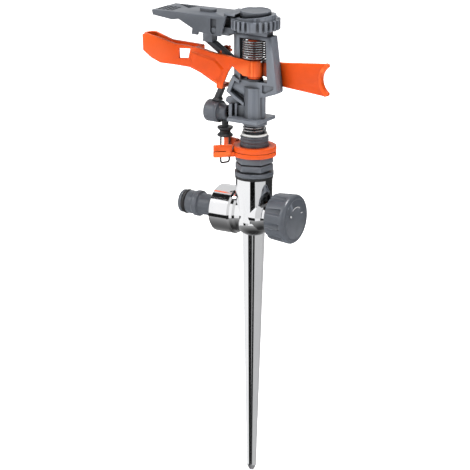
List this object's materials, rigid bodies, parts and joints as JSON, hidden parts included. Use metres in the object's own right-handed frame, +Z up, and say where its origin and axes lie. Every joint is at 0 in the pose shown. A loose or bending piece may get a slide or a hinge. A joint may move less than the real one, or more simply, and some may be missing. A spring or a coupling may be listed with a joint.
{
  "type": "impulse sprinkler",
  "caption": "Impulse sprinkler with part-circle trip, range wheel and deflector on a chrome ground spike with a flow valve and a quick-connect hose nipple.",
  "frame": {"origin": "tip of the ground spike, on the vertical bearing axis", "axes": "+Z up the spike and the bearing axis; the hose nipple, jet, spoon and deflector point to -X and the flow knob to +X"},
  "size_m": [0.1354, 0.037, 0.3157],
  "materials": {
    "chrome": "polished",
    "grey_plastic": "satin moulded",
    "dark_plastic": "satin moulded",
    "orange_plastic": "satin moulded",
    "white_plastic": "satin moulded",
    "black_rubber": "smooth",
    "steel": "drawn wire",
    "dark_steel": "oiled wire",
    "brass": "machined"
  },
  "bodies": {
    "base": {"spike_body": "chrome", "inlet_nipple": "grey_plastic", "nipple_o_ring": "black_rubber", "inlet_washer": "black_rubber", "bonnet_nut": "brass", "body_seal": "black_rubber", "bearing_nut": "grey_plastic", "bearing_sleeve": "grey_plastic"},
    "valve": {"flow_knob": "grey_plastic", "knob_cap": "grey_plastic", "knob_screw": "steel", "valve_stem": "brass", "valve_plug": "brass", "stem_o_ring": "black_rubber"},
    "lower_ring": {"lower_sector_ring": "orange_plastic"},
    "upper_ring": {"upper_sector_ring": "orange_plastic"},
    "head": {"head_body": "grey_plastic", "nozzle_insert": "brass", "bearing_tube": "grey_plastic", "thrust_washer": "white_plastic", "bearing_washers": "black_rubber", "bearing_spring": "steel", "arm_pivot_pin": "steel", "arm_washer": "dark_plastic", "deflector_bracket": "grey_plastic", "deflector_strut": "dark_plastic", "top_cap": "grey_plastic", "deflector_hinge_pin": "grey_plastic", "reversing_axle": "steel", "arm_spring": "steel"},
    "wheel": {"range_wheel": "grey_plastic"},
    "deflector": {"deflector": "grey_plastic"},
    "arm": {"impact_arm": "orange_plastic"},
    "trip": {"trip_hub": "grey_plastic", "reversing_lever": "dark_plastic", "toggle_drum": "grey_plastic", "toggle_spring": "steel", "trip_spool": "dark_plastic", "trip_wire": "dark_steel"},
    "diffuser": {"diffuser_screw": "orange_plastic"}
  },
  "joints": [
    {"name": "head_turn", "type": "hinge", "parent": "base", "child": "head", "pos_m": [0, 0, 0.2334], "axis": [0, 0, 1], "continuous": true},
    {"name": "arm_swing", "type": "hinge", "parent": "head", "child": "arm", "pos_m": [0, 0, 0.277], "axis": [0, 0, 1], "range_deg": [0, 100], "stiffness_Nm_per_rad": 0.03, "springref_deg": -20.05, "deforming": ["arm_spring"]},
    {"name": "wheel_turn", "type": "hinge", "parent": "head", "child": "wheel", "pos_m": [0, 0, 0.307], "axis": [0, 0, 1], "range_deg": [0, 180]},
    {"name": "deflector_tilt", "type": "hinge", "parent": "head", "child": "deflector", "pos_m": [-0.0249, 0, 0.3011], "axis": [0, -1, 0], "range_deg": [0, 18.01]},
    {"name": "trip_tilt", "type": "hinge", "parent": "head", "child": "trip", "pos_m": [-0.0225, 0, 0.2445], "axis": [-1, 0, 0], "range_deg": [0, 20]},
    {"name": "lower_ring_turn", "type": "hinge", "parent": "base", "child": "lower_ring", "pos_m": [0, 0, 0.2205], "axis": [0, 0, 1], "range_deg": [-25, 270]},
    {"name": "upper_ring_turn", "type": "hinge", "parent": "base", "child": "upper_ring", "pos_m": [0, 0, 0.2238], "axis": [0, 0, 1], "range_deg": [-270, 0]},
    {"name": "knob_turn", "type": "hinge", "parent": "base", "child": "valve", "pos_m": [0.016, 0, 0.1795], "axis": [1, 0, 0], "range_deg": [0, 90]},
    {"name": "diffuser_turn", "type": "hinge", "parent": "head", "child": "diffuser", "pos_m": [-0.0246, 0, 0.28515], "axis": [0, 1, 0], "continuous": true}
  ],
  "couplings": [
    {"joint": "deflector_tilt", "follows": "wheel_turn", "ratio": 0.1}
  ]
}
